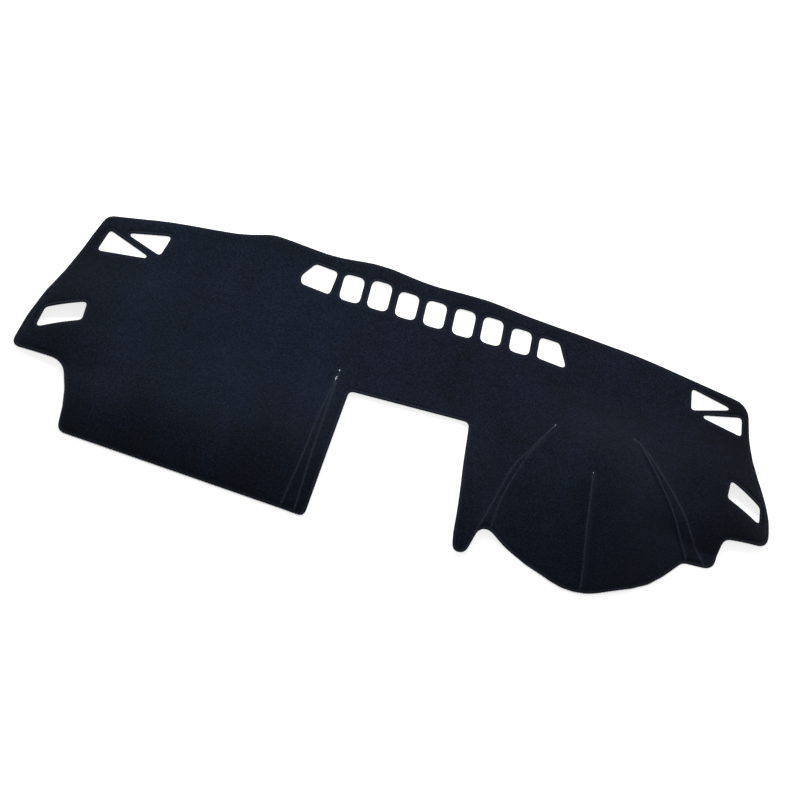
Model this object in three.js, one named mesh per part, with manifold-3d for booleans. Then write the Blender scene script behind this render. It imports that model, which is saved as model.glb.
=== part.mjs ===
// Dashboard cover mat: one panel of thick pile carpet, cut to a pattern, with four darts that
// give it the form of the dashboard. It lies with its underside down: +X runs along the mat to
// the driver's end, +Y to the windscreen edge and +Z up. Millimetres. The origin is under the
// middle of the mat, on the floor.
import * as THREE from 'three';
import { mergeVertices } from 'three/addons/utils/BufferGeometryUtils.js';
import Module from 'manifold-3d';

// Carpet, and how far its cut edge reaches from the middle
const THICKNESS = 4;
const CARPET_COLOUR = 0x1b202c;
const PASSENGER_END_X = -727;
const DRIVER_END_X = 725;
const WINDSCREEN_EDGE_Y = 279;
const HOOD_EDGE_Y = -288;

// Front lip: the carpet rises from the flat middle to a crest and rolls down to the floor
const LIP_HEIGHT = 30;
const LIP_BACK_Y = 45;
const LIP_CREST_Y = -165;
const LIP_FOOT_Y = -288;
const LIP_FOOT_RISE = 0.072; // how the foot line runs back towards the passenger's end
const LIP_TAPER = { left: -480, leftLength: 260, right: 125, rightLength: 130 };

// Hood over the instruments
const HOOD_HEIGHT = 58;
const HOOD_X = 370;
const HOOD_HALF_WIDTH = 245;
const HOOD_TOP_Y = -60;
const HOOD_BACK_LENGTH = 200;
const HOOD_FOOT_Y = -291;
const HOOD_FOOT_CURVE = 0.003; // per mm, so that the foot follows the rounded front edge

// Ends of the mat, which bend down past the air vents
const END_HEIGHT = 26;
const END_CREST_X = 610;
const END_DROP = 124;
const END_RISE = 300;
const END_BACK_Y = -20;
const END_BACK_LENGTH = 170;
const END_FRONT_Y = -50;
const END_FRONT_LENGTH = 90;

// Waves along the windscreen edge
const WAVE_HEIGHT = 3.6;
const WAVE_LENGTH = 205;
const WAVE_START_X = -222;
const WAVE_EDGE_Y = 285;
const WAVE_DEPTH = 85;

// Notch for the screen in the middle of the front
const NOTCH_LEFT = -117;
const NOTCH_RIGHT = 119;
const NOTCH_BACK_Y = -18.6;
const NOTCH_SKEW = 6; // the right-hand back corner lies this much further back
const NOTCH_CORNER = 9;
const NOTCH_FLARE = 20; // the passenger side slants out to the front by this much

// Row of demister slots: seven alike but for how they are cut by hand, and a slanted one at
// each end. Each trim says how far a slot's middle, its back and its front are off, from the
// passenger's side on.
const SLOT_COUNT = 7;
const SLOT_PITCH = 58.3;
const SLOT_WIDTH = 43;
const SLOT_LENGTH = 61;
const SLOT_CORNER = 11;
const SLOT_ROW_X = 10.3;
const SLOT_ROW_Y = 204.5;
const SLOT_ROW_SLOPE = -0.027;
const SLOT_TRIMS = [[2, 0, -1.5], [0, 5, 0], [-1, 0, 0], [-1.5, 0, 0], [0, 2, 0], [0, 3, 2], [2, -2, 2]];
const END_SLOT_CORNER = 6;
const LEFT_END_SLOT = [[-61, -23], [-64, -4], [-43, 32], [4.5, 28], [-0.5, -30.5]];
const RIGHT_END_SLOT = [[1.5, -25], [2, 25], [44, 23.5], [66, -32]];

// Air vents at the two ends
const VENT_CORNER = 5;
const LEFT_VENT = [[-697, -75], [-693, -29], [-623, 2], [-620, -40]];
const RIGHT_VENT = [[628, -29], [634, 12.5], [701, -24], [701, -62]];

// Pairs of three-cornered windows, with a narrow bar of carpet left between them
const WINDOW_CORNER = 4;
const WINDOWS = [
  [[-614, 187], [-526, 209.5], [-535, 157]],
  [[-651, 129.5], [-642, 184], [-545, 145]],
  [[547, 207], [641, 184], [550, 155]],
  [[562, 149], [657.5, 172.5], [659, 126.5]],
];

// Darts: each is a slit sewn up as a lap seam. Its edges part from the apex to the front.
const LAP_RISE = 2.2;
const LAP_RAMP = 7;
const LAP_FALL = 0.8; // share of the rise that is left at the hidden edge
const LAP_ROOT = 0.56; // share of the carpet's thickness at which the lap's root lies in it
const LAP_STATIONS = 16;

// What each dart's seam leaves open behind its apex: how far on, how long and how wide
const DARTS = [
  {
    top: [[-144, 22], [-149, -21], [-158, -89], [-171, -184], [-184, -284]],
    under: [[-143, 22], [-145, -28], [-149, -90], [-153, -165], [-156, -284]],
    gaps: [[0, 7, 5], [20, 17, 4.5]],
  },
  {
    top: [[278, 22], [243, -30], [210, -94], [183, -170], [170, -224]],
    under: [[280, 21], [252, -31], [231, -69], [213, -124], [198, -224]],
    gaps: [[0, 8, 3]],
  },
  {
    top: [[355, -73], [355, -112], [361, -183], [368, -241], [374, -288]],
    under: [[358, -73], [359, -112], [366, -183], [374, -241], [381, -288]],
    gaps: [[0, 5, 3]],
  },
  {
    top: [[436, 39], [459, -3], [504, -59], [546, -126], [569, -176]],
    under: [[438, 41], [471, -1], [516, -48], [562, -114], [600, -172]],
    gaps: [[0, 8, 3]],
  },
];

// Cut edge of the mat, anticlockwise from the passenger's end, as corners with their radii
const EDGE = [
  [PASSENGER_END_X, -115, 15], [-625.5, -123.5, 36], [-598, -195, 120], [-593, -253, 13],
  [-176, -282.5, 150],
  [NOTCH_LEFT - NOTCH_FLARE, -286, 8], [NOTCH_LEFT, NOTCH_BACK_Y, NOTCH_CORNER],
  [NOTCH_RIGHT, NOTCH_BACK_Y + NOTCH_SKEW, NOTCH_CORNER], [NOTCH_RIGHT + 1, -116, 400],
  [NOTCH_RIGHT + 9, -247, 40], [NOTCH_RIGHT + 15, -276, 11], [NOTCH_RIGHT + 38, -273, 12],
  [176, -208.5, 22], [250, -253, 300], [341, HOOD_EDGE_Y, 110], [390, HOOD_EDGE_Y + 1, 110],
  [503, -238, 170], [562, -173, 16], [622, -171, 22], [632, -110, 14],
  [DRIVER_END_X - 1, -99, 26], [DRIVER_END_X, -42, 110],
  [685, 55, 160], [675, 120, 300], [668.5, 204, 36], [586, 218.5, 200], [414, 246, 400],
  [270, 255, 300], [122, 270, 300], [-14, 270, 300], [-114, WINDSCREEN_EDGE_Y + 1.5, 200],
  [-212, 271, 200], [-340, WINDSCREEN_EDGE_Y - 1, 60], [-397, 260, 150], [-553, 236.5, 400],
  [-656, 214, 18], [-668, 164, 200], [-691, 44, 200], [-714.5, -17, 300],
];

// Fineness of the facets
const CELL = 27;
const ARC_STEP = Math.PI / 10;
const MARGIN = 12;
const SLIT_SIDES = 8;

const wasm = await Module();
wasm.setup();

// Two easings: ease leaves 1 and meets 0 gently, roll leaves 1 gently and meets 0 steeply
function ease(t) {
  return 0.5 * (1 + Math.cos(Math.PI * Math.min(Math.max(t, 0), 1)));
}

function roll(t) {
  return Math.cos((Math.PI / 2) * Math.min(Math.max(t, 0), 1) ** 1.4);
}

function lipHeight(x, y) {
  const foot = LIP_FOOT_Y + LIP_FOOT_RISE * Math.max(NOTCH_LEFT - NOTCH_FLARE - x, 0);
  const along = ease((x - LIP_TAPER.right) / LIP_TAPER.rightLength)
    * ease((LIP_TAPER.left - x) / LIP_TAPER.leftLength);
  const across = y < LIP_CREST_Y
    ? roll((LIP_CREST_Y - y) / (LIP_CREST_Y - foot))
    : ease((y - LIP_CREST_Y) / (LIP_BACK_Y - LIP_CREST_Y));
  return LIP_HEIGHT * along * across;
}

function hoodHeight(x, y) {
  const off = x - HOOD_X;
  const foot = HOOD_FOOT_Y + HOOD_FOOT_CURVE * off * off;
  const across = y < HOOD_TOP_Y
    ? roll((HOOD_TOP_Y - y) / Math.max(HOOD_TOP_Y - foot, 1))
    : ease((y - HOOD_TOP_Y) / HOOD_BACK_LENGTH);
  return HOOD_HEIGHT * ease(Math.abs(off) / HOOD_HALF_WIDTH) * across;
}

function endHeight(x, y) {
  const out = Math.abs(x) - END_CREST_X;
  const along = out > 0 ? roll(out / END_DROP) : ease(-out / END_RISE);
  const across = y > END_FRONT_Y
    ? ease((y - END_BACK_Y) / END_BACK_LENGTH)
    : roll((END_FRONT_Y - y) / END_FRONT_LENGTH);
  return END_HEIGHT * along * across;
}

// Height of the underside over the floor
function underside(x, y) {
  const wave = 0.5 * WAVE_HEIGHT * (1 - Math.cos((2 * Math.PI * (x - WAVE_START_X)) / WAVE_LENGTH))
    * ease((WAVE_EDGE_Y - y) / WAVE_DEPTH);
  return Math.hypot(lipHeight(x, y), hoodHeight(x, y), endHeight(x, y)) + wave;
}

// Height of the pile side: the carpet keeps its thickness where it slopes
function pileSide(x, y) {
  const slopeX = (underside(x + 1, y) - underside(x - 1, y)) / 2;
  const slopeY = (underside(x, y + 1) - underside(x, y - 1)) / 2;
  return underside(x, y) + THICKNESS * Math.hypot(1, slopeX, slopeY);
}

// A closed outline through corners [x, y, radius], with each corner rounded by an arc
function roundedPath(corners, radius) {
  const points = [];
  corners.forEach(([x, y, ownRadius = radius], i) => {
    const corner = new THREE.Vector2(x, y);
    const toPrevious = new THREE.Vector2(...corners.at(i - 1).slice(0, 2)).sub(corner);
    const toNext = new THREE.Vector2(...corners[(i + 1) % corners.length].slice(0, 2)).sub(corner);
    const room = 0.48 * Math.min(toPrevious.length(), toNext.length());
    const half = toPrevious.angleTo(toNext) / 2;
    const reach = Math.min(ownRadius / Math.tan(half), room);
    const start = corner.clone().add(toPrevious.setLength(reach));
    const end = corner.clone().add(toNext.setLength(reach));
    const steps = Math.max(1, Math.ceil((Math.PI - 2 * half) / ARC_STEP));
    const weight = Math.sin(half);
    for (let k = 0; k <= steps; k += 1) {
      const t = k / steps;
      const [a, b, c] = [(1 - t) ** 2, 2 * t * (1 - t) * weight, t ** 2];
      points.push(new THREE.Vector2(
        (a * start.x + b * x + c * end.x) / (a + b + c),
        (a * start.y + b * y + c * end.y) / (a + b + c),
      ));
    }
  });
  return points;
}

function toManifold(geometry) {
  const bare = geometry.index ? geometry.clone() : geometry;
  bare.deleteAttribute('normal');
  bare.deleteAttribute('uv');
  const merged = mergeVertices(bare, 1e-4);
  return new wasm.Manifold(new wasm.Mesh({
    numProp: 3,
    vertProperties: new Float32Array(merged.attributes.position.array),
    triVerts: new Uint32Array(merged.index.array),
  }));
}

// A closed solid through rings of equal length, each a list of points round one section
function loft(rings) {
  const count = rings[0].length;
  const index = [];
  for (let i = 0; i + 1 < rings.length; i += 1) {
    for (let k = 0; k < count; k += 1) {
      const [a, b] = [i * count + k, i * count + ((k + 1) % count)];
      index.push(a, b, b + count, a, b + count, a + count);
    }
  }
  const last = (rings.length - 1) * count;
  for (let k = 1; k + 1 < count; k += 1) {
    index.push(0, k + 1, k, last, last + k, last + k + 1);
  }
  const geometry = new THREE.BufferGeometry().setFromPoints(rings.flat());
  geometry.setIndex(index);
  return toManifold(geometry);
}

// The uncut carpet: a sheet of even thickness over the whole form, past the cut edge all round
function uncutCarpet(bounds) {
  const columns = Math.ceil((bounds.max.x - bounds.min.x) / CELL);
  const rows = Math.ceil((bounds.max.y - bounds.min.y) / CELL);
  const grid = new THREE.PlaneGeometry(
    bounds.max.x - bounds.min.x,
    bounds.max.y - bounds.min.y,
    columns,
    rows,
  );
  const centre = bounds.getCenter(new THREE.Vector2());
  grid.translate(centre.x, centre.y, 0);
  const flat = grid.attributes.position;
  const count = flat.count;
  const points = [];
  for (const height of [pileSide, underside]) {
    for (let i = 0; i < count; i += 1) {
      points.push(new THREE.Vector3(flat.getX(i), flat.getY(i), height(flat.getX(i), flat.getY(i))));
    }
  }
  const index = [];
  for (let i = 0; i < grid.index.count; i += 3) {
    const [a, b, c] = [0, 1, 2].map((k) => grid.index.getX(i + k));
    index.push(a, b, c, count + c, count + b, count + a);
  }
  const rim = [];
  for (let i = 0; i < columns; i += 1) rim.push(i);
  for (let j = 0; j < rows; j += 1) rim.push(j * (columns + 1) + columns);
  for (let i = columns; i > 0; i -= 1) rim.push(rows * (columns + 1) + i);
  for (let j = rows; j > 0; j -= 1) rim.push(j * (columns + 1));
  rim.forEach((a, i) => {
    const b = rim[(i + 1) % rim.length];
    index.push(a, b, count + b, a, count + b, count + a);
  });
  const geometry = new THREE.BufferGeometry().setFromPoints(points);
  geometry.setIndex(index);
  return toManifold(geometry);
}

// The lap of a dart: the upper edge stands proud along its cut, and falls to the hidden edge
function dartLap({ top, under }) {
  const [upper, lower] = [top, under].map(
    (line) => new THREE.CatmullRomCurve3(line.map(([x, y]) => new THREE.Vector3(x, y, 0))),
  );
  const rings = [];
  for (let i = 0; i <= LAP_STATIONS; i += 1) {
    const t = i / LAP_STATIONS;
    const a = upper.getPoint(t);
    const b = lower.getPoint(t);
    const swell = Math.min(1, 0.3 + 3 * t);
    const c = b.clone().sub(a).setLength(b.distanceTo(a) + LAP_RAMP * swell).add(a);
    const rise = LAP_RISE * swell;
    const sunk = (p) => LAP_ROOT * pileSide(p.x, p.y) + (1 - LAP_ROOT) * underside(p.x, p.y);
    const m = a.clone().lerp(b, 0.5);
    rings.push([
      ...[a, m, b, c].map((p) => p.clone().setZ(sunk(p))),
      c.clone().setZ(pileSide(c.x, c.y) - 0.2 * THICKNESS),
      b.clone().setZ(pileSide(b.x, b.y) + LAP_FALL * rise),
      m.clone().setZ(pileSide(m.x, m.y) + 0.5 * (1 + LAP_FALL) * rise),
      a.clone().setZ(pileSide(a.x, a.y) + rise),
    ]);
  }
  return loft(rings);
}

// The slits behind a dart's apex that the seam leaves open, each widest in its middle
function apexGaps({ top, gaps }) {
  const apex = new THREE.Vector2(...top[0]);
  const along = new THREE.Vector2(...top[1]).sub(apex).normalize();
  const across = new THREE.Vector2(-along.y, along.x);
  return gaps.map(([distance, length, width]) => {
    const points = [];
    for (let k = 0; k < SLIT_SIDES; k += 1) {
      const turn = (2 * Math.PI * k) / SLIT_SIDES;
      points.push(apex.clone()
        .addScaledVector(along, distance + 0.5 * length * Math.cos(turn))
        .addScaledVector(across, 0.5 * width * Math.sin(turn)));
    }
    return points;
  });
}

function slotRow() {
  const slots = [];
  const end = (SLOT_COUNT - 1) / 2;
  const rowY = (x) => SLOT_ROW_Y + SLOT_ROW_SLOPE * (x - SLOT_ROW_X);
  for (let k = -end; k <= end; k += 1) {
    const [shift, backTrim, frontTrim] = SLOT_TRIMS[k + end];
    const x = SLOT_ROW_X + k * SLOT_PITCH + shift;
    const [left, right] = [x - SLOT_WIDTH / 2, x + SLOT_WIDTH / 2];
    const back = rowY(x) + SLOT_LENGTH / 2 + backTrim;
    const front = rowY(x) - SLOT_LENGTH / 2 + frontTrim;
    slots.push(roundedPath([[left, front], [left, back], [right, back], [right, front]], SLOT_CORNER));
  }
  for (const [side, corners] of [[-1, LEFT_END_SLOT], [1, RIGHT_END_SLOT]]) {
    const x = SLOT_ROW_X + side * ((end + 1) * SLOT_PITCH - SLOT_WIDTH / 2);
    slots.push(roundedPath(corners.map(([dx, dy]) => [x + dx, rowY(x) + dy]), END_SLOT_CORNER));
  }
  return slots;
}

function mat() {
  const edge = roundedPath(EDGE, 0);
  const pattern = new THREE.Shape(edge);
  const cutOuts = [
    ...slotRow(),
    ...[LEFT_VENT, RIGHT_VENT].map((corners) => roundedPath(corners, VENT_CORNER)),
    ...WINDOWS.map((corners) => roundedPath(corners, WINDOW_CORNER)),
    ...DARTS.flatMap(apexGaps),
  ];
  pattern.holes = cutOuts.map((points) => new THREE.Path(points));
  const bounds = new THREE.Box2().setFromPoints(edge).expandByScalar(MARGIN);
  const tall = HOOD_HEIGHT + LIP_HEIGHT + END_HEIGHT + WAVE_HEIGHT + 3 * THICKNESS;
  const cutter = new THREE.ExtrudeGeometry(pattern, { depth: 2 * tall, bevelEnabled: false });
  cutter.translate(0, 0, -tall);
  let carpet = uncutCarpet(bounds);
  for (const dart of DARTS) carpet = carpet.add(dartLap(dart));
  const cut = carpet.intersect(toManifold(cutter)).getMesh();
  const geometry = new THREE.BufferGeometry();
  geometry.setAttribute('position', new THREE.BufferAttribute(cut.vertProperties, 3));
  geometry.setIndex(new THREE.BufferAttribute(cut.triVerts, 1));
  geometry.computeBoundingBox();
  const centre = geometry.boundingBox.getCenter(new THREE.Vector3());
  geometry.translate(-centre.x, -centre.y, 0);
  geometry.computeVertexNormals();
  const carpetFinish = new THREE.MeshStandardMaterial({
    color: CARPET_COLOUR,
    roughness: 0.95,
    metalness: 0,
  });
  const mesh = new THREE.Mesh(geometry, carpetFinish);
  mesh.name = 'carpet_panel';
  return mesh;
}

const dashboardMat = new THREE.Group();
dashboardMat.add(mat());

export default dashboardMat;
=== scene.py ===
import math

import bmesh
import bpy
import numpy as np
from mathutils import Matrix, Vector, noise
from mathutils.geometry import delaunay_2d_cdt, interpolate_bezier
from mathutils.kdtree import KDTree


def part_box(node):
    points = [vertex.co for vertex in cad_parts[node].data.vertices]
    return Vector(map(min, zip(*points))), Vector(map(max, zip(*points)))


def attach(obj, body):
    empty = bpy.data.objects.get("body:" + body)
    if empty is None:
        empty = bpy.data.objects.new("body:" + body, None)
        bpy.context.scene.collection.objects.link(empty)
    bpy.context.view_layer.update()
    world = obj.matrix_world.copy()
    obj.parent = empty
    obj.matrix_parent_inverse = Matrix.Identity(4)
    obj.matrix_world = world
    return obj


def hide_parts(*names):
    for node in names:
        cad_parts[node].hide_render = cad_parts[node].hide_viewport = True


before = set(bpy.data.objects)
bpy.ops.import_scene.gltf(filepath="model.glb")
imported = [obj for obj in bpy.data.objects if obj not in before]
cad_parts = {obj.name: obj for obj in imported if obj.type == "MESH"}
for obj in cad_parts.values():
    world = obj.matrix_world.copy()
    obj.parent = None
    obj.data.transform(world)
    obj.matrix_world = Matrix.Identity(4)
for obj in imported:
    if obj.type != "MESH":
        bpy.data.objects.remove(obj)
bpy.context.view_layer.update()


# Camera
# The photographer stood at the cabin side, above the middle of the mat, and held the camera
# askew, so the mat runs downhill to the right.
MM = 0.001
CAMERA_PLACE = (-179.19 * MM, -1121.94 * MM, 1965.45 * MM)
CAMERA_DOWN = math.radians(60.0)
CAMERA_TURN = math.radians(8.125)
CAMERA_ROLL = math.radians(22.93)
LENS = 54.0
FILM_WIDTH = 36.0

camera_data = bpy.data.cameras.new("camera")
camera_data.lens = LENS
camera_data.sensor_width = FILM_WIDTH
camera = bpy.data.objects.new("camera", camera_data)
bpy.context.scene.collection.objects.link(camera)
camera.matrix_world = (
    Matrix.Translation(CAMERA_PLACE)
    @ Matrix.Rotation(-CAMERA_TURN, 4, "Z")
    @ Matrix.Rotation(math.pi / 2 - CAMERA_DOWN, 4, "X")
    @ Matrix.Rotation(CAMERA_ROLL, 4, "Z")
)
bpy.context.scene.camera = camera


# Floor, background and lamps
# A white sweep under plain studio light: a broad soft lamp behind the mat, which leaves the
# slopes towards the cabin in shade, and an even fill from all round.
FILL_LEVEL = 0.30
LAMP_PLACE = (-0.5, 1.75, 1.85)
LAMP_SIZE = 1.5
LAMP_WATTS = 74.0
FLOOR_SIZE = 12.0
FLOOR_DROP = 1.0 * MM  # below the carpet's lowest facets, for the threads under the hem
FLOOR_GLOW = 0.75


def new_material(name):
    """A material with its nodes, links and shader."""
    material = bpy.data.materials.new(name)
    material.use_nodes = True
    tree = material.node_tree
    return material, tree.nodes, tree.links, tree.nodes["Principled BSDF"]


def white_where_seen(nodes, links, strength):
    """The strength for camera, glossy and transmission rays, and 0 for the light on the mat."""
    path = nodes.new("ShaderNodeLightPath")
    glossy = nodes.new("ShaderNodeMath")
    glossy.operation = "MAXIMUM"
    through = nodes.new("ShaderNodeMath")
    through.operation = "MAXIMUM"
    scaled = nodes.new("ShaderNodeMath")
    scaled.operation = "MULTIPLY"
    scaled.inputs[1].default_value = strength
    links.new(path.outputs["Is Camera Ray"], glossy.inputs[0])
    links.new(path.outputs["Is Glossy Ray"], glossy.inputs[1])
    links.new(glossy.outputs[0], through.inputs[0])
    links.new(path.outputs["Is Transmission Ray"], through.inputs[1])
    links.new(through.outputs[0], scaled.inputs[0])
    return scaled.outputs[0]


floor_mesh = bpy.data.meshes.new("floor")
half = FLOOR_SIZE / 2
floor_mesh.from_pydata(
    [(-half, -half, 0), (half, -half, 0), (half, half, 0), (-half, half, 0)], [], [(0, 1, 2, 3)]
)
floor = bpy.data.objects.new("floor", floor_mesh)
floor.location.z = -FLOOR_DROP
bpy.context.scene.collection.objects.link(floor)
floor_white, nodes, links, shader = new_material("floor_white")
shader.inputs["Base Color"].default_value = (0.82, 0.82, 0.82, 1)
shader.inputs["Roughness"].default_value = 0.9
shader.inputs["Specular IOR Level"].default_value = 0.0
shader.inputs["Emission Color"].default_value = (1, 1, 1, 1)
links.new(white_where_seen(nodes, links, FLOOR_GLOW), shader.inputs["Emission Strength"])
floor_mesh.materials.append(floor_white)

world = bpy.data.worlds.new("studio")
world.use_nodes = True
bpy.context.scene.world = world
nodes, links = world.node_tree.nodes, world.node_tree.links
nodes["Background"].inputs["Color"].default_value = (1, 1, 1, 1)
level = nodes.new("ShaderNodeMath")
level.operation = "ADD"
level.inputs[1].default_value = FILL_LEVEL
links.new(white_where_seen(nodes, links, 1.0 - FILL_LEVEL), level.inputs[0])
links.new(level.outputs[0], nodes["Background"].inputs["Strength"])

lamp_data = bpy.data.lights.new("soft_lamp", "AREA")
lamp_data.shape = "SQUARE"
lamp_data.size = LAMP_SIZE
lamp_data.energy = LAMP_WATTS
lamp = bpy.data.objects.new("soft_lamp", lamp_data)
bpy.context.scene.collection.objects.link(lamp)
aim = (-Vector(LAMP_PLACE)).to_track_quat("-Z", "Y").to_matrix().to_4x4()
lamp.matrix_world = Matrix.Translation(LAMP_PLACE) @ aim

bpy.context.scene.view_settings.view_transform = "Standard"


# Carpet panel
# One cut piece of short pile carpet on a thin black felt backing, pressed to the form of the
# dashboard. Its cut edges are overlocked, and four slits from its front edge are lapped over
# and sewn up as darts, each with a small gap left at its apex.
PITCH = 5.2 * MM
EDGE_PITCH = 3.0 * MM
EDGE_SMOOTHING = 3
RING_SPACING = 1.35 * MM
DART_STEP, DART_SPACING, DART_CLEARANCE = 2.4 * MM, 0.8 * MM, 1.0 * MM
# Height of the pile over the backing's lower face by distance from the cut edge: pressed under
# the overlocking, nipped in where the needle goes through, and full beyond
HEM_DISTANCES = np.array([0.0, 1.6, 3.4, 5.0, 6.4, 8.4, 11.0]) * MM
HEM_HEIGHTS = np.array([2.7, 3.1, 3.0, 2.5, 3.1, 3.8, 4.0]) * MM
HEM_LIFT, HEM_LIFT_REACH = 0.5 * MM, 4 * MM
HEM_BULGE = 0.7 * MM
PRESSED_REACH = 7.5 * MM
TUFT_START = 9 * MM  # the pile has its full unevenness from here on
FLAT_HEM, FLAT_HEM_FADE = 4.5 * MM, 6 * MM

# The form, in the pattern's own millimetres: crests by their place, and slopes by their length
HOOD_HEIGHT, HOOD_MIDDLE_X, HOOD_HALF_WIDTH = 58 * MM, 370, 245
HOOD_CREST_Y, HOOD_BACK_LENGTH, HOOD_FOOT_Y, HOOD_FOOT_BEND = -60, 200, -291, 0.003
LIP_HEIGHT, LIP_CREST_Y, LIP_BACK_LENGTH, LIP_FOOT_Y = 30 * MM, -165, 210, -288
LIP_FOOT_BEND_X, LIP_FOOT_SLANT = -137, 0.072
LIP_RIGHT_X, LIP_RIGHT_LENGTH, LIP_LEFT_X, LIP_LEFT_LENGTH = 125, 130, -480, 260
END_HEIGHT, END_CREST_X, END_OUT_LENGTH, END_IN_LENGTH = 26 * MM, 610, 124, 300
END_BACK_Y, END_BACK_LENGTH, END_FRONT_Y, END_FRONT_LENGTH = -20, 170, -50, 90
WAVE_HEIGHT, WAVE_START_X, WAVE_LENGTH = 3.6 * MM, -222, 205
WAVE_BACK_Y, WAVE_BACK_LENGTH = 285, 85
SAG_HEIGHT = 0.9 * MM
CENTRE = np.array([0.210, 4.504])  # from the pattern's origin to the frame's

# Darts: the upper cut edge and the hidden lower edge, from the apex to the front
LAP_RISE = 2.2 * MM
DARTS = {
    "notch": (
        [(-144, 22), (-152, -23), (-162, -93), (-171, -184), (-185, -284)],
        [(-143, 22), (-145, -28), (-149, -90), (-153, -165), (-156, -284)],
    ),
    "hood_left": (
        [(278, 22), (240, -40), (211, -88), (185, -164), (167, -220)],
        [(281, 22), (243, -49), (221, -101), (201, -163), (191, -222)],
    ),
    "hood_middle": (
        [(353, -73), (353, -112), (357, -183), (366, -241), (373, -288)],
        [(357, -73), (358, -112), (364, -183), (373, -241), (380, -288)],
    ),
    "hood_right": (
        [(435, 37), (474, -26), (515, -82), (550, -140), (571, -182)],
        [(437, 40), (486, -17), (530, -67), (570, -121), (603, -168)],
    ),
}
LAP_STEP = 0.5 * MM
LAP_RAMP = 7 * MM
SEAM_INSET = 2.6 * MM
LOWER_INSET = 0.5 * MM
UPPER_GROOVE, LOWER_GROOVE, GROOVE_WIDTH = 0.9 * MM, 0.7 * MM, 2.2 * MM
LAP_REACH = 50 * MM  # no lap is wider
RUN_OUT = 14 * MM  # how far the darts' lines go on past the front edge


def ease(t):
    return 0.5 * (1 + np.cos(np.pi * np.clip(t, 0, 1)))


def roll(t):
    return np.cos(np.pi / 2 * np.clip(t, 0, 1) ** 1.4)


def form(x, y):
    """Height of the backing over the floor, as the solid has it. x and y in metres."""
    x = np.asarray(x) / MM - CENTRE[0]
    y = np.asarray(y) / MM - CENTRE[1]
    foot = LIP_FOOT_Y + LIP_FOOT_SLANT * np.maximum(LIP_FOOT_BEND_X - x, 0)
    behind = y - LIP_CREST_Y
    lip = np.where(behind < 0, roll(behind / (foot - LIP_CREST_Y)), ease(behind / LIP_BACK_LENGTH))
    lip = LIP_HEIGHT * lip * ease((x - LIP_RIGHT_X) / LIP_RIGHT_LENGTH)
    lip = lip * ease((LIP_LEFT_X - x) / LIP_LEFT_LENGTH)
    off = x - HOOD_MIDDLE_X
    foot = HOOD_FOOT_Y + HOOD_FOOT_BEND * off**2
    behind = y - HOOD_CREST_Y
    slope = np.maximum(HOOD_CREST_Y - foot, 1)
    hood = np.where(behind < 0, roll(-behind / slope), ease(behind / HOOD_BACK_LENGTH))
    hood = HOOD_HEIGHT * hood * ease(np.abs(off) / HOOD_HALF_WIDTH)
    out = np.abs(x) - END_CREST_X
    end = np.where(out > 0, roll(out / END_OUT_LENGTH), ease(-out / END_IN_LENGTH))
    to_back = ease((y - END_BACK_Y) / END_BACK_LENGTH)
    to_front = roll((END_FRONT_Y - y) / END_FRONT_LENGTH)
    end = END_HEIGHT * end * np.where(y > END_FRONT_Y, to_back, to_front)
    wave = 1 - np.cos(2 * np.pi * (x - WAVE_START_X) / WAVE_LENGTH)
    wave = 0.5 * WAVE_HEIGHT * wave * ease((WAVE_BACK_Y - y) / WAVE_BACK_LENGTH)
    return np.sqrt(lip**2 + hood**2 + end**2) + wave


def uneven(points, across, along, seed):
    """Soft noise at points in plan, from -1 to 1. across and along are its waves a metre."""
    return np.array([noise.noise((px * across, py * along, seed)) for px, py in points])


def sag(points):
    """How far the carpet stands off the form where the form holds it up."""
    loose = np.clip(form(*points.T) / (14 * MM), 0, 1)
    return np.maximum(uneven(points, 9, 9, 3.1) * SAG_HEIGHT * loose, 0)


def slopes(x, y):
    d = MM
    return (form(x + d, y) - form(x - d, y)) / (2 * d), (form(x, y + d) - form(x, y - d)) / (2 * d)


def without_spurs(loop):
    """A loop without the there-and-back bits that steep facets at the darts leave in it."""
    while True:
        back = loop - np.roll(loop, 1, axis=0)
        ahead = np.roll(loop, -1, axis=0) - loop
        long = np.linalg.norm(back, axis=1) * np.linalg.norm(ahead, axis=1)
        spurs = (back * ahead).sum(1) < -0.5 * long
        if not (spurs | (long < 1e-12)).any():
            return loop
        loop = np.delete(loop, np.argmax(spurs | (long < 1e-12)), axis=0)


def cut_edges(node):
    """The solid's cut edges as closed loops in plan, with the carpet on their left."""
    bm = bmesh.new()
    bm.from_mesh(node.data)
    bmesh.ops.remove_doubles(bm, verts=bm.verts, dist=1e-6)
    bm.normal_update()
    after = {}
    for face in bm.faces:
        if face.normal.z > -0.5:
            continue
        for loop in face.loops:
            other = loop.link_loop_radial_next.face
            if other.normal.z > -0.5:
                after[loop.link_loop_next.vert.index] = loop.vert.index
    places = {v.index: v.co.xy.copy() for v in bm.verts}
    bm.free()
    loops = []
    while after:
        start, current = next(iter(after.items()))
        del after[start]
        chain = [start]
        while current != start:
            chain.append(current)
            current = after.pop(current)
        loops.append(without_spurs(np.array([places[i] for i in chain])))
    return sorted(loops, key=len, reverse=True)


def even_steps(points, step, closed):
    """The same line with points an even step apart."""
    ends = np.vstack([points, points[:1]]) if closed else points
    run = np.concatenate([[0], np.cumsum(np.linalg.norm(np.diff(ends, axis=0), axis=1))])
    count = max(10, round(run[-1] / step))
    at = np.linspace(0, run[-1], count + (0 if closed else 1), endpoint=not closed)
    return np.stack([np.interp(at, run, ends[:, k]) for k in range(ends.shape[1])], 1)


def softened(loop):
    """A loop with the facets of its corners smoothed out."""
    loop = even_steps(loop, EDGE_PITCH, True)
    for _ in range(EDGE_SMOOTHING):
        loop = 0.5 * loop + 0.25 * (np.roll(loop, 1, axis=0) + np.roll(loop, -1, axis=0))
    return loop


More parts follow.
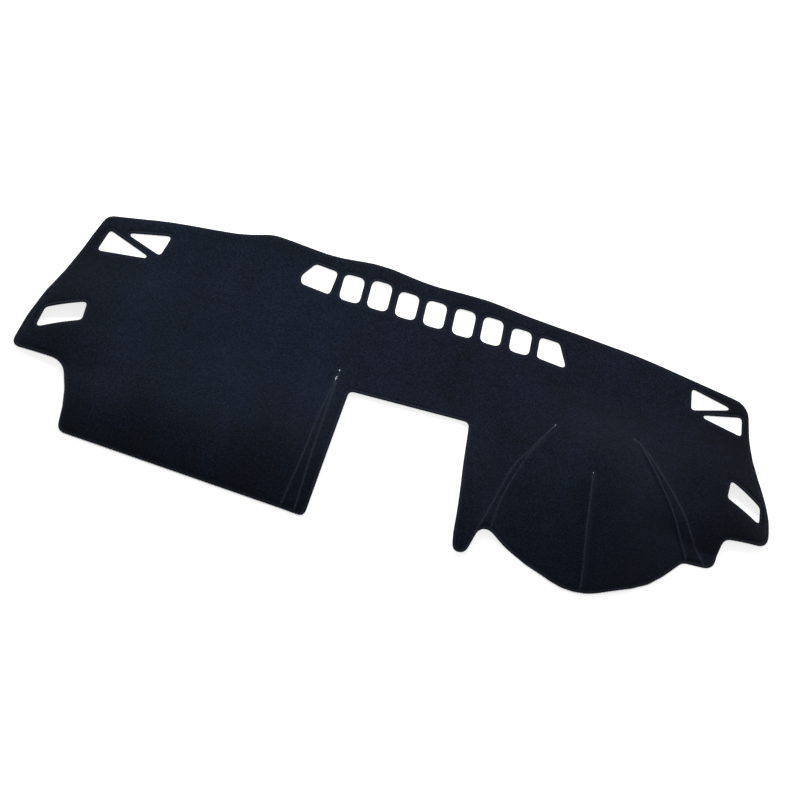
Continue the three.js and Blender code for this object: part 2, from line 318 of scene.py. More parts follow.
def left_side(loop):
    """Unit vectors to the left of a closed loop's direction, into the carpet."""
    along = np.roll(loop, -1, axis=0) - np.roll(loop, 1, axis=0)
    along /= np.linalg.norm(along, axis=1, keepdims=True)
    return np.stack([-along[:, 1], along[:, 0]], 1)


def inside(points, loops):
    """True for the points that lie on the carpet, counting the edges crossed towards +X."""
    a = np.vstack(loops)
    b = np.vstack([np.roll(loop, -1, axis=0) for loop in loops])
    odd = np.zeros(len(points), bool)
    for part in np.array_split(np.arange(len(points)), max(1, len(points) // 2000)):
        y = points[part, 1][:, None]
        x = points[part, 0][:, None]
        spans = (a[:, 1] > y) != (b[:, 1] > y)
        rise = np.where(a[:, 1] == b[:, 1], 1, b[:, 1] - a[:, 1])
        cross = a[:, 0] + (y - a[:, 1]) * (b[:, 0] - a[:, 0]) / rise
        odd[part] = (spans & (cross > x)).sum(1) % 2 == 1
    return odd


def curve_through(corners):
    """A smooth line of even steps through given points in plan, in metres."""
    p = (np.array(corners, float) + CENTRE) * MM
    p = np.vstack([p, p[-1] + (p[-1] - p[-2]) * RUN_OUT / np.linalg.norm(p[-1] - p[-2])])
    ends = np.vstack([2 * p[0] - p[1], p, 2 * p[-1] - p[-2]])
    line = []
    for i in range(len(p) - 1):
        a, b, c, d = ends[i : i + 4]
        handles = (b, b + (c - a) / 6, c - (d - b) / 6, c)
        line += [v.to_2d() for v in interpolate_bezier(*[Vector((*h, 0)) for h in handles], 24)]
    return even_steps(np.array(line), DART_STEP, False)


def beside(line, offset):
    """The line moved sideways to its left."""
    along = np.gradient(line, axis=0)
    along /= np.linalg.norm(along, axis=1, keepdims=True)
    return line + offset * np.stack([-along[:, 1], along[:, 0]], 1)


def lap_side(upper, lower):
    """1 where a dart's lower edge is to the left of its upper one, and -1 otherwise."""
    return 1.0 if np.cross(upper[-1] - upper[0], lower[-1] - upper[0]) > 0 else -1.0


def nearest(points, line):
    """For each point: its distance to the left of a line, its share of the line's length, and
    how far it is past the line's start."""
    tree = KDTree(len(line))
    for i, p in enumerate(line):
        tree.insert((*p, 0), i)
    tree.balance()
    along = np.gradient(line, axis=0)
    along /= np.linalg.norm(along, axis=1, keepdims=True)
    found = np.array([tree.find((*p, 0))[1] for p in points])
    off = points - line[found]
    side = along[found, 0] * off[:, 1] - along[found, 1] * off[:, 0]
    past = np.where(found == 0, np.maximum(-(off * along[found]).sum(1), 0), 0)
    return side, found / (len(line) - 1), past


edges = [softened(loop) for loop in cut_edges(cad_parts["carpet_panel"])]
dart_lines = {name: [curve_through(c) for c in pair] for name, pair in DARTS.items()}

# Points in plan: the cut edges, rings beside them, lines beside the darts, and an even spread
edge_points = np.vstack(edges)
edge_sides = np.vstack([left_side(loop) for loop in edges])
edge_tree = KDTree(len(edge_points))
for i, p in enumerate(edge_points):
    edge_tree.insert((*p, 0), i)
edge_tree.balance()


def edge_distance(points):
    found = [edge_tree.find((*p, 0))[1:] for p in points]
    index = np.array([f[0] for f in found])
    straight = np.array([f[1] for f in found])
    across = np.abs(((points - edge_points[index]) * edge_sides[index]).sum(1))
    return np.where(straight < 1.2 * EDGE_PITCH, across, straight)


def add_points(placed, candidates, spacing):
    """The candidates that keep the spacing from the points placed before them."""
    tree = KDTree(len(placed))
    for i, p in enumerate(placed):
        tree.insert((*p, 0), i)
    tree.balance()
    keep = [p for p in candidates if tree.find((*p, 0))[2] > spacing]
    return np.vstack([placed, keep]) if keep else placed


def carpet_faces(faces, middles, borders):
    """The triangles reached from the one in the middle without crossing a cut edge."""
    closed = {tuple(sorted(edge)) for edge in borders}
    meeting = {}
    for i, face in enumerate(faces.tolist()):
        for k in range(3):
            edge = tuple(sorted((face[k], face[k - 1])))
            if edge not in closed:
                meeting.setdefault(edge, []).append(i)
    beside_face = [[] for _ in faces]
    for pair in meeting.values():
        if len(pair) == 2:
            beside_face[pair[0]].append(pair[1])
            beside_face[pair[1]].append(pair[0])
    first = int(np.argmin(np.linalg.norm(middles - (0.0, 0.1), axis=1)))
    reached, waiting = {first}, [first]
    while waiting:
        for i in beside_face[waiting.pop()]:
            if i not in reached:
                reached.add(i)
                waiting.append(i)
    return sorted(reached)


plan = edge_points.copy()
for upper, lower in dart_lines.values():
    band = [beside(upper, off) for off in (LAP_STEP, -LAP_STEP, SEAM_INSET)] + [lower]
    for line in band:
        line = line[inside(line, edges)]
        plan = add_points(plan, line[edge_distance(line) > DART_CLEARANCE], DART_SPACING)
for distance in HEM_DISTANCES[1:]:
    ring = edge_points + distance * edge_sides
    ring = ring[inside(ring, edges)]
    plan = add_points(plan, ring[edge_distance(ring) > 0.93 * distance], RING_SPACING)
low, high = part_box("carpet_panel")


def staggered(pitch, margin):
    """Points in staggered rows over the carpet in plan, a margin or more from its edges."""
    rows = []
    for k, y in enumerate(np.arange(low[1], high[1], pitch * math.sqrt(0.75))):
        x = np.arange(low[0] + (k % 2) * pitch / 2, high[0], pitch)
        rows.append(np.stack([x, np.full_like(x, y)], 1))
    spread = np.vstack(rows)
    spread = spread[inside(spread, edges)]
    return spread[edge_distance(spread) > margin]


plan = add_points(plan, staggered(PITCH, HEM_DISTANCES[-1]), 0.62 * PITCH)

fixed = []
start = 0
for loop in edges:
    n = len(loop)
    fixed += [(start + i, start + (i + 1) % n) for i in range(n)]
    start += n
verts, _, faces, *_ = delaunay_2d_cdt([Vector(p) for p in plan], fixed, [], 0, 1e-7)
plan = np.array([v[:] for v in verts])
faces = np.array([f for f in faces if len(f) == 3])
faces = faces[carpet_faces(faces, plan[faces].mean(1), fixed)]
a, b, c = (plan[faces[:, k]] for k in range(3))
turn = (b - a)[:, 0] * (c - a)[:, 1] - (b - a)[:, 1] * (c - a)[:, 0]
if turn.sum() < 0:
    faces = faces[:, ::-1]


def clear_of_hem(distance):
    """0 under the hem's stitches, which press the laps flat, and 1 beyond them."""
    return np.clip((distance - FLAT_HEM) / FLAT_HEM_FADE, 0, 1)


def swell(share):
    """How far a lap has risen, from 0 to 1, by the share of its length from the apex."""
    return np.clip(0.3 + 3 * share, 0, 1)


# Heights: the form, soft unevenness, the pressed hem and the lapped darts, with a groove under
# each row of stitches
distance = edge_distance(plan)
x, y = plan.T
slope_x, slope_y = slopes(x, y)
lean = np.sqrt(1 + slope_x**2 + slope_y**2)
tufts = uneven(plan, 90, 90, 7.7) * 0.35 * MM + uneven(plan, 26, 26, 1.7) * 0.3 * MM
pile = np.interp(distance, HEM_DISTANCES, HEM_HEIGHTS)
pressed = np.clip(1 - distance / PRESSED_REACH, 0, 1)
lap = np.zeros(len(plan))
for upper, lower in dart_lines.values():
    side = lap_side(upper, lower)
    from_upper, share, past = nearest(plan, upper)
    from_lower = nearest(plan, lower)[0]
    from_upper, from_lower = side * from_upper, -side * from_lower
    rise = LAP_RISE * (swell(share) * ease(past / LAP_RAMP))
    lap += rise * np.clip(from_upper / LAP_STEP, 0, 1) * ease(-from_lower / LAP_RAMP)
    for line, depth in (
        (from_upper - SEAM_INSET, UPPER_GROOVE),
        (from_lower + LOWER_INSET, LOWER_GROOVE),
    ):
        groove = np.exp(-((line / GROOVE_WIDTH) ** 2)) * ease(past / LAP_RAMP)
        lap -= depth * groove * (np.abs(from_upper) < LAP_REACH)
        pressed = np.maximum(pressed, 0.9 * groove)

# Painted light and shade: the pile is painted lighter over the middle of the passenger's side,
# and darker at both ends, along the windscreen edge, over the back of the hood and on the slopes
# of the hood's front and the passenger's lip, where shade falls. Random patches of brushed pile
# lie on top. The places and the lengths of their soft borders are in the pattern's millimetres
pattern_x, pattern_y = x / MM - CENTRE[0], y / MM - CENTRE[1]
passenger_side = ease(np.hypot((pattern_x + 260) / 330, (pattern_y - 90) / 190))
both_ends = ease((700 - np.abs(pattern_x)) / 170)
driver_end = ease((640 - pattern_x) / 260)
windscreen_edge = ease((265 - pattern_y) / 45)
hood_front = ease((pattern_y + 122) / 50) * ease(np.abs(pattern_x - 385) / 330)
lip_front = ease((pattern_y + 215) / 90) * (pattern_x < 0)
hood_back = ease((np.abs(pattern_x - 380) - 60) / 130) * ease((np.abs(pattern_y - 40) - 40) / 80)
nap_and_shading = 0.45 * passenger_side - 1.0 * both_ends - 0.5 * driver_end - 0.45 * windscreen_edge
nap_and_shading -= 0.55 * hood_front + 0.8 * lip_front + 0.4 * hood_back
nap_and_shading += 0.5 * uneven(plan, 14, 4.5, 5.2)

# Tint: from violet to blue-green over the passenger's side and the hood's front
past_notch = ease((pattern_x + 160) / 90)
below_crest = ease((pattern_y + 110) / 60) * ease((np.abs(pattern_x - 385) - 60) / 180)
dye = np.maximum(past_notch, 0.8 * below_crest) + 0.9 * uneven(plan, 9, 7, 8.4)

base = form(x, y) + sag(plan)
full = np.clip(distance / TUFT_START, 0, 1)
top = base + (pile + tufts * full + lap * clear_of_hem(distance)) * lean
bottom = base + HEM_LIFT * np.clip(1 - distance / HEM_LIFT_REACH, 0, 1)

# The closed sheet: pile side, backing, and a rounded rim between them
count = len(plan)
rim_start = 2 * count
edge_count = len(edge_points)
rim_plan = edge_points - HEM_BULGE * edge_sides
rim_height = 0.5 * (top[:edge_count] + bottom[:edge_count])
points = np.vstack([
    np.column_stack([plan, top]),
    np.column_stack([plan, bottom]),
    np.column_stack([rim_plan, rim_height]),
])
polygons = faces.tolist() + (faces[:, ::-1] + count).tolist()
for i, j in fixed:
    polygons.append([j, i, rim_start + i, rim_start + j])
    polygons.append([rim_start + j, rim_start + i, count + i, count + j])
panel_mesh = bpy.data.meshes.new("carpet_panel_pile")
panel_mesh.from_pydata(points.tolist(), [], polygons)
panel_mesh.polygons.foreach_set("use_smooth", [True] * len(panel_mesh.polygons))
# Attributes for the pile's colour: the pressed pile, which takes a painted sheen, the painted light
# and shade with brushed patches, and the tint
for label, values, rim_values in (
    ("pressed", pressed, np.ones(edge_count)),
    ("nap_and_shading", nap_and_shading, nap_and_shading[:edge_count]),
    ("dye", dye, dye[:edge_count]),
):
    field = panel_mesh.attributes.new(label, "FLOAT", "POINT")
    field.data.foreach_set("value", np.concatenate([values, values, rim_values]).astype(np.float32))
backing_faces = np.zeros(len(polygons), np.int32)
backing_faces[len(faces) : 2 * len(faces)] = 1
panel_mesh.polygons.foreach_set("material_index", backing_faces)
panel_mesh.update()
panel = bpy.data.objects.new("carpet_panel_pile", panel_mesh)
bpy.context.scene.collection.objects.link(panel)


def noise_node(nodes, links, coordinates, scale, detail=2.0, roughness=0.5):
    texture = nodes.new("ShaderNodeTexNoise")
    texture.inputs["Scale"].default_value = scale
    texture.inputs["Detail"].default_value = detail
    texture.inputs["Roughness"].default_value = roughness
    links.new(coordinates, texture.inputs["Vector"])
    return texture.outputs["Fac"]


def weighted_sum(nodes, links, terms):
    """The sum of sockets times their weights."""
    total = None
    for socket, weight in terms:
        scaled = nodes.new("ShaderNodeMath")
        scaled.operation = "MULTIPLY_ADD"
        scaled.inputs[1].default_value = weight
        scaled.inputs[2].default_value = 0.0
        links.new(socket, scaled.inputs[0])
        if total is not None:
            links.new(total, scaled.inputs[2])
        total = scaled.outputs[0]
    return total


def blended(nodes, links, factor, low_colour, high_colour, low_at, high_at):
    """A colour between two, as the factor goes from low_at to high_at."""
    spread_node = nodes.new("ShaderNodeMapRange")
    spread_node.inputs["From Min"].default_value = low_at
    spread_node.inputs["From Max"].default_value = high_at
    links.new(factor, spread_node.inputs["Value"])
    mix = nodes.new("ShaderNodeMix")
    mix.data_type = "RGBA"
    links.new(spread_node.outputs["Result"], mix.inputs["Factor"])
    colours = {s.name: s for s in mix.inputs if s.type == "RGBA"}
    for socket, colour in (("A", low_colour), ("B", high_colour)):
        if isinstance(colour, tuple):
            colours[socket].default_value = (*colour, 1)
        else:
            links.new(colour, colours[socket])
    return next(s for s in mix.outputs if s.type == "RGBA")


def bumped(nodes, links, shader, height, strength, depth):
    """Gives a shader the small relief of a height."""
    bump = nodes.new("ShaderNodeBump")
    bump.inputs["Strength"].default_value = strength
    bump.inputs["Distance"].default_value = depth
    links.new(height, bump.inputs["Height"])
    links.new(bump.outputs["Normal"], shader.inputs["Normal"])


def varied_roughness(nodes, links, shader, mask, low_value, high_value):
    """Gives a shader a roughness between two values that follows a mask."""
    spread_node = nodes.new("ShaderNodeMapRange")
    spread_node.inputs["To Min"].default_value = low_value
    spread_node.inputs["To Max"].default_value = high_value
    links.new(mask, spread_node.inputs["Value"])
    links.new(spread_node.outputs["Result"], shader.inputs["Roughness"])


def carpet_pile():
    """Short navy pile: dense tufts a millimetre or two apart, brushed unevenly into soft
    patches, with a faint sheen. Painted light and shade, carried by an attribute, lighten and
    darken it by region, and a painted sheen lightens it where stitches press it down."""
    material, nodes, links, shader = new_material("navy_pile")
    place = nodes.new("ShaderNodeTexCoord").outputs["Object"]
    grain = noise_node(nodes, links, place, 900.0, 3.0, 0.65)
    tuft = noise_node(nodes, links, place, 330.0, 2.0, 0.6)
    patches = noise_node(nodes, links, place, 26.0, 4.0, 0.6)
    brushed = nodes.new("ShaderNodeMapping")
    brushed.inputs["Rotation"].default_value = (0.0, 0.0, math.radians(12.0))
    brushed.inputs["Scale"].default_value = (1.0, 0.28, 1.0)
    links.new(place, brushed.inputs["Vector"])
    fibres = noise_node(nodes, links, brushed.outputs["Vector"], 1300.0, 3.0, 0.6)
    # Painted light and shade by region, with random patches of brushed pile, read from the mesh
    nap_and_shading = nodes.new("ShaderNodeAttribute")
    nap_and_shading.attribute_name = "nap_and_shading"
    mottle = [(fibres, 0.20), (grain, 0.18), (tuft, 0.48), (patches, 0.14)]
    tone = weighted_sum(nodes, links, mottle + [(nap_and_shading.outputs["Fac"], 0.060)])
    violet_tones = (0.0009, 0.0012, 0.0032), (0.0108, 0.0150, 0.0322)
    green_tones = (0.0006, 0.0015, 0.0034), (0.0086, 0.0160, 0.0322)
    violet = blended(nodes, links, tone, *violet_tones, 0.42, 0.63)
    green = blended(nodes, links, tone, *green_tones, 0.42, 0.63)
    dye = nodes.new("ShaderNodeAttribute")
    dye.attribute_name = "dye"
    colour = blended(nodes, links, dye.outputs["Fac"], violet, green, 0.0, 1.0)
    # Painted sheen: the flattened pile under the hem and the stitch rows is painted lighter
    pressed_sheen = nodes.new("ShaderNodeAttribute")
    pressed_sheen.attribute_name = "pressed"
    colour = blended(nodes, links, pressed_sheen.outputs["Fac"], colour, (0.012, 0.0165, 0.028), 0.0, 2.4)
    links.new(colour, shader.inputs["Base Color"])
    varied_roughness(nodes, links, shader, patches, 0.86, 1.0)
    shader.inputs["Specular IOR Level"].default_value = 0.10
    shader.inputs["Sheen Weight"].default_value = 0.09
    shader.inputs["Sheen Roughness"].default_value = 0.42
    shader.inputs["Sheen Tint"].default_value = (0.42, 0.52, 0.78, 1)
    relief = weighted_sum(nodes, links, [(fibres, 0.7), (grain, 0.4), (tuft, 0.8), (patches, 0.4)])
    bumped(nodes, links, shader, relief, 0.75, 1.6 * MM)
    return material


def fibre_group():
    """Shader group: fine fibres, broader clumps, and a colour between two that follows both."""
    tree = bpy.data.node_groups.new("fibres_and_clumps", "ShaderNodeTree")
    for name, kind in (
        ("Place", "Vector"),
        ("Fibre Scale", "Float"),
        ("Fibre Detail", "Float"),
        ("Fibre Roughness", "Float"),
        ("Clump Scale", "Float"),
        ("Clump Detail", "Float"),
        ("Clump Roughness", "Float"),
        ("Fibre Share", "Float"),
        ("Dark", "Color"),
        ("Light", "Color"),
        ("Dark At", "Float"),
        ("Light At", "Float"),
    ):
        tree.interface.new_socket(name=name, in_out="INPUT", socket_type="NodeSocket" + kind)
    for name, kind in (("Colour", "Color"), ("Fibres", "Float"), ("Clumps", "Float")):
        tree.interface.new_socket(name=name, in_out="OUTPUT", socket_type="NodeSocket" + kind)
    nodes, links = tree.nodes, tree.links
    given = nodes.new("NodeGroupInput").outputs
    result = nodes.new("NodeGroupOutput").inputs
    both = nodes.new("ShaderNodeMix")
    links.new(given["Fibre Share"], both.inputs["Factor"])
    for part, socket in (("Clump", "A"), ("Fibre", "B")):
        texture = nodes.new("ShaderNodeTexNoise")
        links.new(given["Place"], texture.inputs["Vector"])
        for label in ("Scale", "Detail", "Roughness"):
            links.new(given[f"{part} {label}"], texture.inputs[label])
        links.new(texture.outputs["Fac"], result[part + "s"])
        links.new(texture.outputs["Fac"], both.inputs[socket])
    tone = nodes.new("ShaderNodeMapRange")
    links.new(both.outputs["Result"], tone.inputs["Value"])
    links.new(given["Dark At"], tone.inputs["From Min"])
    links.new(given["Light At"], tone.inputs["From Max"])
    mix = nodes.new("ShaderNodeMix")
    mix.data_type = "RGBA"
    links.new(tone.outputs["Result"], mix.inputs["Factor"])
    colours = {s.name: s for s in mix.inputs if s.type == "RGBA"}
    links.new(given["Dark"], colours["A"])
    links.new(given["Light"], colours["B"])
    links.new(next(s for s in mix.outputs if s.type == "RGBA"), result["Colour"])
    return tree


def fibrous(nodes, links, fibre, clump, share, dark, light, between):
    """The fibre group, placed in a material. fibre and clump are (scale, detail, roughness)."""
    group = nodes.new("ShaderNodeGroup")
    group.node_tree = fibres_and_clumps
    for part, values in (("Fibre", fibre), ("Clump", clump)):
        for label, value in zip(("Scale", "Detail", "Roughness"), values):
            group.inputs[f"{part} {label}"].default_value = value
    group.inputs["Fibre Share"].default_value = share
    group.inputs["Dark"].default_value = (*dark, 1)
    group.inputs["Light"].default_value = (*light, 1)
    group.inputs["Dark At"].default_value, group.inputs["Light At"].default_value = between
    links.new(nodes.new("ShaderNodeTexCoord").outputs["Object"], group.inputs["Place"])
    return group.outputs


fibres_and_clumps = fibre_group()


def felt_backing():
    """Thin needled felt, dull black, with matted clumps of fibres, bonded to the underside."""
    material, nodes, links, shader = new_material("felt_backing")
    fibre, clump = (700.0, 4.0, 0.7), (160.0, 3.0, 0.6)
    dark, light = (0.009, 0.009, 0.010), (0.034, 0.034, 0.036)
    felt = fibrous(nodes, links, fibre, clump, 0.6, dark, light, (0.33, 0.67))
    links.new(felt["Colour"], shader.inputs["Base Color"])
    varied_roughness(nodes, links, shader, felt["Clumps"], 0.88, 1.0)
    shader.inputs["Specular IOR Level"].default_value = 0.15
    relief = weighted_sum(nodes, links, [(felt["Fibres"], 0.6), (felt["Clumps"], 0.6)])
    bumped(nodes, links, shader, relief, 0.6, 0.6 * MM)
    return material


panel_mesh.materials.append(carpet_pile())
panel_mesh.materials.append(felt_backing())
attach(panel, "root")
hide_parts("carpet_panel")


# Overlocking
# Spun polyester thread, wrapped round every cut edge by an overlock machine: slanted loops that
# go through the carpet 5 mm in and pull its edge round.
THREAD_RADIUS = 0.40 * MM
OVERLOCK_PITCH = 2.7 * MM
OVERLOCK_DEPTH = 5.0 * MM
APEX_GAP_POINTS = 20  # a shorter loop is the small gap at a dart's apex, which isn't overlocked


def add_sockets(tree, sizes, finish):
    """A tree's inputs: its geometry, its sizes and its material. Its output is geometry."""
    tree.interface.new_socket(name="Geometry", in_out="INPUT", socket_type="NodeSocketGeometry")
    for name in sizes:
        tree.interface.new_socket(name=name, in_out="INPUT", socket_type="NodeSocketFloat")
    tree.interface.new_socket(name=finish, in_out="INPUT", socket_type="NodeSocketMaterial")
    tree.interface.new_socket(name="Geometry", in_out="OUTPUT", socket_type="NodeSocketGeometry")


def stitch_tree():
    """Stitches along the lines of a mesh. Each is an arc of thread: it starts Depth into the
    cloth, swings out past the line by Bulge, and ends Depth in again, Height lower. Arch lifts
    its middle, Along is how far it runs, and Zigzag turns every other one left and right."""
    tree = bpy.data.node_groups.new("sewn_stitches", "GeometryNodeTree")
    sizes = ("Pitch", "Along", "Depth", "Bulge", "Height", "Arch", "Radius", "Zigzag")
    add_sockets(tree, sizes, "Thread")
    nodes, links = tree.nodes, tree.links
    given = nodes.new("NodeGroupInput").outputs
    result = nodes.new("NodeGroupOutput").inputs

    def math_node(operation, first, second=0.0, third=0.0):
        node = nodes.new("ShaderNodeMath")
        node.operation = operation
        for socket, value in zip(node.inputs, (first, second, third)):
            if isinstance(value, (int, float)):
                socket.default_value = value
            else:
                links.new(value, socket)
        return node.outputs[0]

    arc_points = 7
    line = nodes.new("GeometryNodeMeshLine")
    line.inputs["Count"].default_value = arc_points
    index = nodes.new("GeometryNodeInputIndex").outputs[0]
    share = math_node("DIVIDE", index, arc_points - 1)
    angle = math_node("MULTIPLY", share, math.pi)
    swing = math_node("SINE", angle)
    reach = math_node("ADD", given["Depth"], given["Bulge"])
    place = nodes.new("ShaderNodeCombineXYZ")
    onward = math_node("MULTIPLY", math_node("SUBTRACT", share, 0.5), given["Along"])
    links.new(onward, place.inputs[0])
    inward = math_node("SUBTRACT", given["Depth"], math_node("MULTIPLY", reach, swing))
    links.new(inward, place.inputs[1])
    half_height = math_node("MULTIPLY", given["Height"], 0.5)
    fall = math_node("MULTIPLY", half_height, math_node("COSINE", angle))
    links.new(math_node("MULTIPLY_ADD", given["Arch"], swing, fall), place.inputs[2])
    shape = nodes.new("GeometryNodeSetPosition")
    links.new(line.outputs["Mesh"], shape.inputs["Geometry"])
    links.new(place.outputs[0], shape.inputs["Position"])
    arc = nodes.new("GeometryNodeMeshToCurve")
    links.new(shape.outputs["Geometry"], arc.inputs["Mesh"])
    section = nodes.new("GeometryNodeCurvePrimitiveCircle")
    section.inputs["Resolution"].default_value = 5
    links.new(given["Radius"], section.inputs["Radius"])
    thread = nodes.new("GeometryNodeCurveToMesh")
    thread.inputs["Fill Caps"].default_value = True
    links.new(arc.outputs["Curve"], thread.inputs["Curve"])
    links.new(section.outputs["Curve"], thread.inputs["Profile Curve"])

    path = nodes.new("GeometryNodeMeshToCurve")
    links.new(given["Geometry"], path.inputs["Mesh"])
    even = nodes.new("GeometryNodeResampleCurve")
    even.mode = "LENGTH"
    links.new(path.outputs["Curve"], even.inputs["Curve"])
    links.new(given["Pitch"], even.inputs["Length"])
    up = nodes.new("GeometryNodeInputNamedAttribute")
    up.data_type = "FLOAT_VECTOR"
    up.inputs["Name"].default_value = "cloth_up"
    turn_node = nodes.new("FunctionNodeAxesToRotation")
    turn_node.primary_axis = "X"
    turn_node.secondary_axis = "Z"
    links.new(nodes.new("GeometryNodeInputTangent").outputs[0], turn_node.inputs["Primary Axis"])
    links.new(up.outputs["Attribute"], turn_node.inputs["Secondary Axis"])
    copies = nodes.new("GeometryNodeInstanceOnPoints")
    links.new(even.outputs["Curve"], copies.inputs["Points"])
    links.new(thread.outputs["Mesh"], copies.inputs["Instance"])
    number = nodes.new("GeometryNodeInputIndex").outputs[0]
    parity = math_node("MULTIPLY_ADD", math_node("MODULO", number, 2.0), 2.0, -1.0)
    lean_node = nodes.new("FunctionNodeAxisAngleToRotation")
    lean_node.inputs["Axis"].default_value = (0, 0, 1)
    links.new(math_node("MULTIPLY", parity, given["Zigzag"]), lean_node.inputs["Angle"])
    leaned = nodes.new("FunctionNodeRotateRotation")
    leaned.rotation_space = "LOCAL"
    links.new(turn_node.outputs[0], leaned.inputs["Rotation"])
    links.new(lean_node.outputs[0], leaned.inputs["Rotate By"])
    links.new(leaned.outputs[0], copies.inputs["Rotation"])
    real = nodes.new("GeometryNodeRealizeInstances")
    links.new(copies.outputs[0], real.inputs[0])
    smooth = nodes.new("GeometryNodeSetShadeSmooth")
    links.new(real.outputs[0], smooth.inputs["Geometry"])
    finish = nodes.new("GeometryNodeSetMaterial")
    links.new(smooth.outputs[0], finish.inputs["Geometry"])
    links.new(given["Thread"], finish.inputs["Material"])
    links.new(finish.outputs[0], result[0])
    return tree


def lifted(points_in_plan, height):
    """Points a height over the backing's lower face, along the cloth's normal, and the normal."""
    px, py = points_in_plan.T
    sx, sy = slopes(px, py)
    up = np.column_stack([-sx, -sy, np.ones(len(px))])
    up /= np.linalg.norm(up, axis=1, keepdims=True)
    level = form(px, py) + sag(points_in_plan)
    return np.column_stack([px, py, level]) + up * np.reshape(height, (-1, 1)), up


def grown(name, guide, tree, **inputs):
    """The plain mesh that a tree makes on a guide, as a piece of the mat."""
    carrier = bpy.data.objects.new(name, guide)
    bpy.context.scene.collection.objects.link(carrier)
    modifier = carrier.modifiers.new(name, "NODES")
    modifier.node_group = tree
    sockets = {s.name: s.identifier for s in tree.interface.items_tree if s.in_out == "INPUT"}
    for label, value in inputs.items():
        modifier[sockets[label]] = value
    bpy.context.view_layer.update()
    evaluated = carrier.evaluated_get(bpy.context.evaluated_depsgraph_get())
    mesh = bpy.data.meshes.new_from_object(evaluated)
    carrier.modifiers.clear()
    carrier.data = mesh
    mesh.name = name
    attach(carrier, "root")
    return carrier


def sewn(name, lines, closed, thread, **sizes):
    """A mesh of stitches along lines, each a pair of its points and the cloth's normals."""
    guide = bpy.data.meshes.new(name)
    all_points, all_ups, links_between, first = [], [], [], 0
    for line_points, ups in lines:
        n = len(line_points)
        links_between += [(first + i, first + (i + 1) % n) for i in range(n if closed else n - 1)]
        all_points.append(line_points)
        all_ups.append(ups)
        first += n
    guide.from_pydata(np.vstack(all_points).tolist(), links_between, [])
    held = guide.attributes.new("cloth_up", "FLOAT_VECTOR", "POINT")
    held.data.foreach_set("vector", np.vstack(all_ups).astype(np.float32).ravel())
    return grown(name, guide, stitches, Thread=thread, **sizes)


def sewing_thread(name, dark, light):
    """Spun polyester, with the fine twist of its strands showing as a faint ripple."""
    material, nodes, links, shader = new_material(name)
    strand, length = (1500.0, 2.0, 0.6), (60.0, 2.0, 0.5)
    spun = fibrous(nodes, links, strand, length, 0.6, dark, light, (0.3, 0.7))
    links.new(spun["Colour"], shader.inputs["Base Color"])
    shader.inputs["Roughness"].default_value = 0.7
    shader.inputs["Specular IOR Level"].default_value = 0.2
    shader.inputs["Sheen Weight"].default_value = 0.06
    shader.inputs["Sheen Tint"].default_value = (0.5, 0.6, 0.8, 1)
    bumped(nodes, links, shader, spun["Fibres"], 0.5, 0.2 * MM)
    return material


stitches = stitch_tree()
edge_thread = sewing_thread("edge_thread", (0.010, 0.013, 0.022), (0.026, 0.031, 0.045))
seam_thread = sewing_thread("seam_thread", (0.016, 0.022, 0.036), (0.040, 0.053, 0.078))
overlock_sizes = {
    "Pitch": OVERLOCK_PITCH,
    "Along": 1.9 * MM,
    "Depth": OVERLOCK_DEPTH,
    "Bulge": 0.85 * MM,
    "Height": 2.9 * MM,
    "Arch": 0.0,
    "Radius": THREAD_RADIUS,
    "Zigzag": 0.0,
}
hem_middle = 0.5 * (HEM_HEIGHTS[0] + HEM_LIFT)
outer_line = [lifted(edges[0], hem_middle)]
outer_edge = sewn("edge_overlocking", outer_line, True, edge_thread, **overlock_sizes)
cut_lines = [lifted(loop, hem_middle) for loop in edges[1:] if len(loop) > APEX_GAP_POINTS]
cut_edges_sewn = sewn("cut_out_overlocking", cut_lines, True, edge_thread, **overlock_sizes)


# Dart seams
# Rows of zigzag stitches hold each lap: one over the upper layer's cut edge and, except on the
# hood's middle dart, one along the hidden edge of the layer below. They end at the apex.
SEAM_PITCH = 2.3 * MM
SEAM_WIDTH = 4.2 * MM
APEX_STEPS = 18
APEX_CLEARANCE, EDGE_CLEARANCE = 2.3 * MM, 3.5 * MM
seam_lines = []
for name, (upper, lower) in dart_lines.items():
    side = lap_side(upper, lower)
    seam_rows = [beside(upper, side * SEAM_INSET)]
    if name != "hood_middle":
        seam_rows.append(beside(lower, side * -LOWER_INSET))
    for row in seam_rows:
        near_apex = np.arange(len(row)) < APEX_STEPS
        clear = np.where(near_apex, APEX_CLEARANCE, EDGE_CLEARANCE)
        row = row[inside(row, edges) & (edge_distance(row) > clear)]
        from_edge = edge_distance(row)
        height = np.interp(from_edge, HEM_DISTANCES, HEM_HEIGHTS)
        rise = 0.5 * LAP_RISE * swell(np.linspace(0, 1, len(row)))
        seam_lines.append(lifted(row, height + rise * clear_of_hem(from_edge)))
dart_seams = sewn(
    "dart_seams",
    seam_lines,
    False,
    seam_thread,
    Pitch=SEAM_PITCH,
    Along=math.hypot(SEAM_WIDTH, SEAM_PITCH),
    Depth=0.0,
    Bulge=0.0,
    Height=0.0,
    Arch=0.8 * MM,
    Radius=0.4 * MM,
    Zigzag=math.atan2(SEAM_WIDTH, SEAM_PITCH),
)


# Grip dots
# Small pads of silicone rubber, printed in even rows on the felt, which keep the mat from
# sliding on the dashboard. Each is a low six-sided dome.
DOT_PITCH = 9.0 * MM
DOT_RADIUS = 1.7 * MM
DOT_HEIGHT = 0.7 * MM
DOT_MARGIN = 9.0 * MM
DOT_SUNK = 0.1 * MM


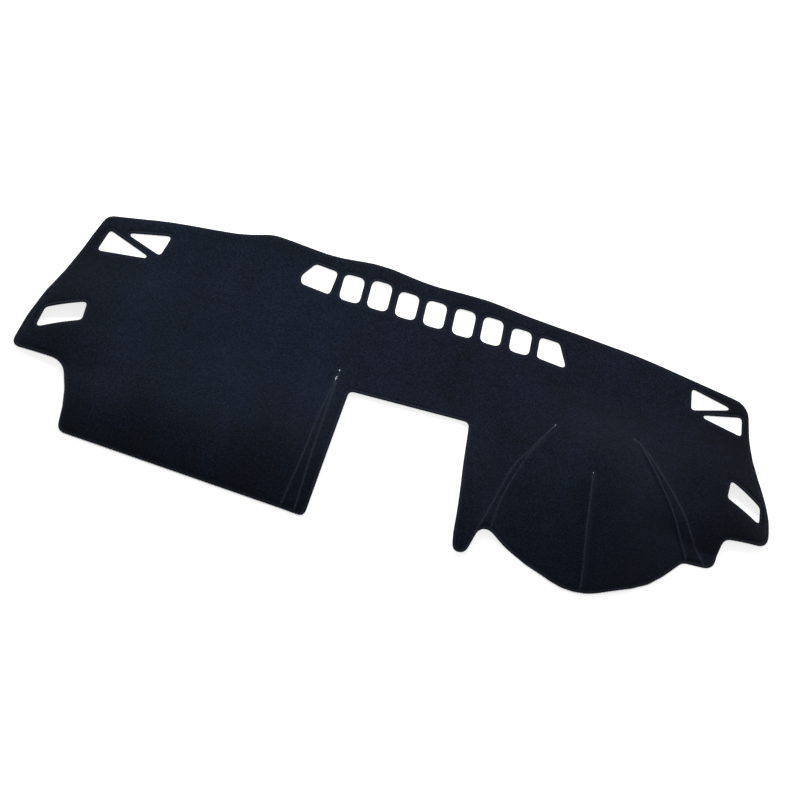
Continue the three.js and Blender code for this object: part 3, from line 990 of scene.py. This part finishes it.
def dot_tree():
    """A low dome on every point of a mesh, standing on the felt and pointing down from it."""
    tree = bpy.data.node_groups.new("printed_dots", "GeometryNodeTree")
    add_sockets(tree, ("Radius", "Height"), "Rubber")
    nodes, links = tree.nodes, tree.links
    given = nodes.new("NodeGroupInput").outputs
    dome = nodes.new("GeometryNodeMeshCone")
    dome.inputs["Vertices"].default_value = 6
    links.new(given["Radius"], dome.inputs["Radius Bottom"])
    narrow = nodes.new("ShaderNodeMath")
    narrow.operation = "MULTIPLY"
    narrow.inputs[1].default_value = 0.6
    links.new(given["Radius"], narrow.inputs[0])
    links.new(narrow.outputs[0], dome.inputs["Radius Top"])
    links.new(given["Height"], dome.inputs["Depth"])
    up = nodes.new("GeometryNodeInputNamedAttribute")
    up.data_type = "FLOAT_VECTOR"
    up.inputs["Name"].default_value = "cloth_up"
    down = nodes.new("ShaderNodeVectorMath")
    down.operation = "SCALE"
    down.inputs["Scale"].default_value = -1.0
    links.new(up.outputs["Attribute"], down.inputs[0])
    turned = nodes.new("FunctionNodeAlignRotationToVector")
    turned.axis = "Z"
    links.new(down.outputs[0], turned.inputs["Vector"])
    copies = nodes.new("GeometryNodeInstanceOnPoints")
    links.new(given["Geometry"], copies.inputs["Points"])
    links.new(dome.outputs["Mesh"], copies.inputs["Instance"])
    links.new(turned.outputs[0], copies.inputs["Rotation"])
    real = nodes.new("GeometryNodeRealizeInstances")
    links.new(copies.outputs[0], real.inputs[0])
    finish = nodes.new("GeometryNodeSetMaterial")
    links.new(real.outputs[0], finish.inputs["Geometry"])
    links.new(given["Rubber"], finish.inputs["Material"])
    links.new(finish.outputs[0], nodes.new("NodeGroupOutput").inputs[0])
    return tree


def grip_rubber():
    """Translucent grey silicone that looks nearly black on the felt, slightly glossy and dusty:
    the clumps alone, as dust."""
    material, nodes, links, shader = new_material("grip_rubber")
    dust = (240.0, 3.0, 0.6)
    dark, light = (0.022, 0.023, 0.026), (0.060, 0.061, 0.064)
    rubber = fibrous(nodes, links, dust, dust, 0.0, dark, light, (0.35, 0.7))
    links.new(rubber["Colour"], shader.inputs["Base Color"])
    varied_roughness(nodes, links, shader, rubber["Clumps"], 0.35, 0.6)
    return material


dot_points, dot_ups = lifted(staggered(DOT_PITCH, DOT_MARGIN), DOT_SUNK)
dot_guide = bpy.data.meshes.new("grip_dots")
dot_guide.from_pydata(dot_points.tolist(), [], [])
dot_normals = dot_guide.attributes.new("cloth_up", "FLOAT_VECTOR", "POINT")
dot_normals.data.foreach_set("vector", dot_ups.astype(np.float32).ravel())
grip_dots = grown(
    "grip_dots", dot_guide, dot_tree(), Radius=DOT_RADIUS, Height=DOT_HEIGHT, Rubber=grip_rubber()
)
